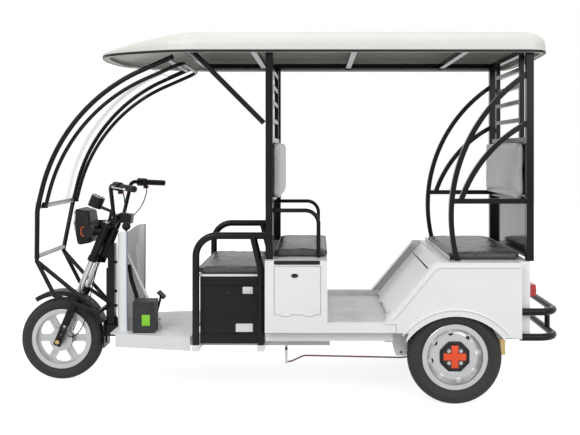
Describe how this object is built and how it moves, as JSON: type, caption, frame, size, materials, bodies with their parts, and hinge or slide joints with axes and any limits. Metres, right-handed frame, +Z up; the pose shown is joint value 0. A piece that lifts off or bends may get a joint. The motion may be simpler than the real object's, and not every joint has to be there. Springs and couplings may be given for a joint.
{
  "type": "electric passenger tricycle",
  "caption": "Open-sided electric passenger tricycle with raked front fork, curved windscreen hoop, facing seats, moulded roof and tube frame.",
  "frame": {"origin": "on the ground, at the middle of the length and width", "axes": "+X to the rear, -Y to the vehicle's left side, +Z up"},
  "size_m": [2.83, 1, 1.876],
  "materials": {
    "black_paint": "gloss",
    "white_paint": "gloss",
    "grey_paint": "satin",
    "floor_grey": "satin",
    "white_plastic": "gloss",
    "vinyl": "satin",
    "black_plastic": "satin",
    "clear": "gloss",
    "lamp_lens": "gloss",
    "red_lens": "gloss",
    "amber_lens": "gloss",
    "dark_steel": "satin",
    "cable_jacket": "satin",
    "chrome": "gloss",
    "alloy": "satin",
    "steel": "satin",
    "tyre_rubber": "matte",
    "hub_paint": "satin"
  },
  "bodies": {
    "chassis": {"chassis_beams": "white_paint", "neck_column": "black_paint", "front_guard": "black_paint", "windscreen_frame": "black_paint", "windscreen_bars": "grey_paint", "inner_hoop": "black_paint", "windscreen": "clear", "roof_shell": "white_plastic", "roof_frame": "black_paint", "pillars": "black_paint", "back_ladders": "black_paint", "back_panels": "black_paint", "partition_backrest": "vinyl", "rear_backrest": "vinyl", "side_arches": "black_paint", "driver_seat_frame": "black_paint", "driver_seat_box": "black_paint", "driver_seat_cushion": "vinyl", "passenger_box": "white_paint", "passenger_seat_cushion": "vinyl", "passenger_arm_rails": "black_paint", "floor_pan": "floor_grey", "rear_body_sides": "white_paint", "rear_body_back": "white_paint", "rear_seat_cushion": "vinyl", "rear_bumper": "black_paint", "tail_lamps": "red_lens", "leaf_springs": "dark_steel", "rear_axle": "dark_steel", "battery_pack": "black_plastic", "footboard": "white_plastic", "legshield": "white_paint", "driver_controls": "black_plastic", "brake_linkage": "cable_jacket", "charger_box": "black_plastic"},
    "steering": {"fork_clamps": "black_paint", "fork_stanchions": "chrome", "fork_sliders": "black_paint", "handlebar": "black_paint", "grips": "black_plastic", "headlamp_housing": "black_plastic", "headlamp_lens": "lamp_lens", "turn_signals": "amber_lens", "gauge_pods": "black_plastic", "front_mudguard": "black_plastic"},
    "front_wheel": {"front_tyre": "tyre_rubber", "front_rim": "alloy"},
    "rear_wheel_left": {"rear_tyre_left": "tyre_rubber", "rear_rim_left": "steel", "rear_hub_left": "hub_paint"},
    "rear_wheel_right": {"rear_tyre_right": "tyre_rubber", "rear_rim_right": "steel", "rear_hub_right": "hub_paint"},
    "driver_door_left": {"driver_door_left": "black_paint"},
    "driver_door_right": {"driver_door_right": "black_paint"},
    "passenger_door_left": {"passenger_door_left": "white_paint"},
    "passenger_door_right": {"passenger_door_right": "white_paint"},
    "battery_door": {"battery_door": "white_paint"}
  },
  "joints": [
    {"name": "steering_turn", "type": "hinge", "parent": "chassis", "child": "steering", "pos_m": [-0.97306, 0, 0.67365], "axis": [0.3786, 0, 0.9255], "range_deg": [-38, 38]},
    {"name": "front_wheel_spin", "type": "hinge", "parent": "steering", "child": "front_wheel", "pos_m": [-1.192, 0, 0.223], "axis": [0, 1, 0], "continuous": true},
    {"name": "rear_wheel_left_spin", "type": "hinge", "parent": "chassis", "child": "rear_wheel_left", "pos_m": [0.894, -0.433, 0.234], "axis": [0, 1, 0], "continuous": true},
    {"name": "rear_wheel_right_spin", "type": "hinge", "parent": "chassis", "child": "rear_wheel_right", "pos_m": [0.894, 0.433, 0.234], "axis": [0, 1, 0], "continuous": true},
    {"name": "driver_door_left_hinge", "type": "hinge", "parent": "chassis", "child": "driver_door_left", "pos_m": [-0.24, -0.335, 0.32], "axis": [1, 0, 0], "range_deg": [0, 110]},
    {"name": "driver_door_right_hinge", "type": "hinge", "parent": "chassis", "child": "driver_door_right", "pos_m": [-0.24, 0.335, 0.32], "axis": [-1, 0, 0], "range_deg": [0, 110]},
    {"name": "passenger_door_left_hinge", "type": "hinge", "parent": "chassis", "child": "passenger_door_left", "pos_m": [0.115, -0.497, 0.447], "axis": [1, 0, 0], "range_deg": [0, 110]},
    {"name": "passenger_door_right_hinge", "type": "hinge", "parent": "chassis", "child": "passenger_door_right", "pos_m": [0.115, 0.497, 0.447], "axis": [-1, 0, 0], "range_deg": [0, 110]},
    {"name": "battery_door_hinge", "type": "hinge", "parent": "chassis", "child": "battery_door", "pos_m": [0.575, 0, 0.384], "axis": [0, -1, 0], "range_deg": [0, 95]}
  ]
}
